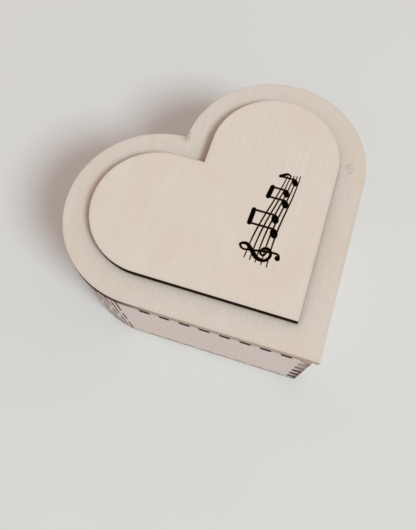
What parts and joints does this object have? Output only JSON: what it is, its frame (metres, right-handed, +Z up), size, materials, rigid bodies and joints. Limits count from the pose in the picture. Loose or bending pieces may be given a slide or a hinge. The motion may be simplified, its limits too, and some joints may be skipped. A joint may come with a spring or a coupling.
{
  "type": "wind up music box",
  "caption": "Heart-shaped plywood music box: living-hinge walls, hinged lid with a raised heart panel, and a wind-up comb movement with its key underneath.",
  "frame": {"origin": "centre of the footprint on the table, below the middle of the lid's outline", "axes": "+Z up out of the lid; -Y towards the heart's tip; +X to the right as seen from the tip side"},
  "size_m": [0.0958, 0.0882, 0.042],
  "materials": {
    "wall_ply": "laser-cut basswood ply, pale, charred at the cuts",
    "lid_ply": "laser-cut basswood ply, pale, lightly sanded",
    "panel_ply": "laser-cut basswood ply, pale, dark charred edge and engraving",
    "inner_ply": "laser-cut basswood ply, unfinished",
    "hinge_brass": "stamped brass, satin",
    "gear_brass": "machined brass",
    "key_brass": "nickel-free polished brass",
    "cast_zinc": "die-cast zinc alloy, satin",
    "pressed_steel": "pressed steel, satin",
    "comb_steel": "hardened steel, ground",
    "shaft_steel": "polished steel",
    "spring_steel": "blued spring steel",
    "screw_steel": "zinc-plated steel",
    "fan_plastic": "moulded nylon",
    "felt": "wool felt"
  },
  "bodies": {
    "box": {"bottom_plate": "inner_ply", "left_wall": "wall_ply", "right_wall": "wall_ply", "top_frame": "inner_ply", "movement_board": "inner_ply", "board_blocks": "inner_ply", "board_screws": "screw_steel", "hinge_box_leaves": "hinge_brass", "hinge_pins": "hinge_brass", "hinge_box_screws": "hinge_brass", "bedplate": "cast_zinc", "bed_screws": "screw_steel", "arbor_bush": "gear_brass", "spring_housing": "cast_zinc", "housing_pillars": "cast_zinc", "housing_screws": "screw_steel", "mainspring": "spring_steel", "cylinder_bracket": "pressed_steel", "bracket_screws": "screw_steel", "comb": "comb_steel", "comb_screws": "screw_steel", "governor_frame": "pressed_steel", "governor_screws": "screw_steel"},
    "lid": {"lid_plate": "lid_ply", "lid_panel": "panel_ply", "hinge_lid_leaves": "hinge_brass", "hinge_lid_screws": "hinge_brass"},
    "key": {"winding_key": "key_brass", "arbor": "shaft_steel", "great_wheel": "gear_brass"},
    "cylinder": {"cylinder": "gear_brass", "cylinder_pins": "shaft_steel", "cylinder_shaft": "shaft_steel", "cylinder_pinion": "gear_brass", "cylinder_gear": "gear_brass"},
    "intermediate": {"intermediate_pinion": "shaft_steel", "worm_wheel": "gear_brass"},
    "governor": {"worm": "shaft_steel", "fan": "fan_plastic"},
    "stop": {"stop_plunger": "shaft_steel", "brake_pad": "felt"}
  },
  "joints": [
    {"name": "lid_hinge", "type": "hinge", "parent": "box", "child": "lid", "pos_m": [0, 0.04332, 0.0352], "axis": [-1, 0, 0], "range_deg": [0, 100]},
    {"name": "key_turn", "type": "hinge", "parent": "box", "child": "key", "pos_m": [-0.012, 0.013, 0.012], "axis": [0, 0, 1], "continuous": true},
    {"name": "cylinder_spin", "type": "hinge", "parent": "box", "child": "cylinder", "pos_m": [0.01, 0.013, 0.0235], "axis": [1, 0, 0], "continuous": true},
    {"name": "intermediate_spin", "type": "hinge", "parent": "box", "child": "intermediate", "pos_m": [0.022, 0.01965, 0.02467], "axis": [1, 0, 0], "continuous": true},
    {"name": "governor_spin", "type": "hinge", "parent": "box", "child": "governor", "pos_m": [0.02235, 0.02435, 0.025], "axis": [0, 0, 1], "continuous": true},
    {"name": "stop_slide", "type": "slide", "parent": "box", "child": "stop", "axis": [0, 0, 1], "range_m": [0, 0.002]}
  ],
  "couplings": [
    {"joint": "cylinder_spin", "follows": "key_turn", "ratio": 3},
    {"joint": "intermediate_spin", "follows": "key_turn", "ratio": -12},
    {"joint": "governor_spin", "follows": "key_turn", "ratio": 240},
    {"joint": "stop_slide", "follows": "lid_hinge", "m_per_rad": 0.0011459}
  ]
}
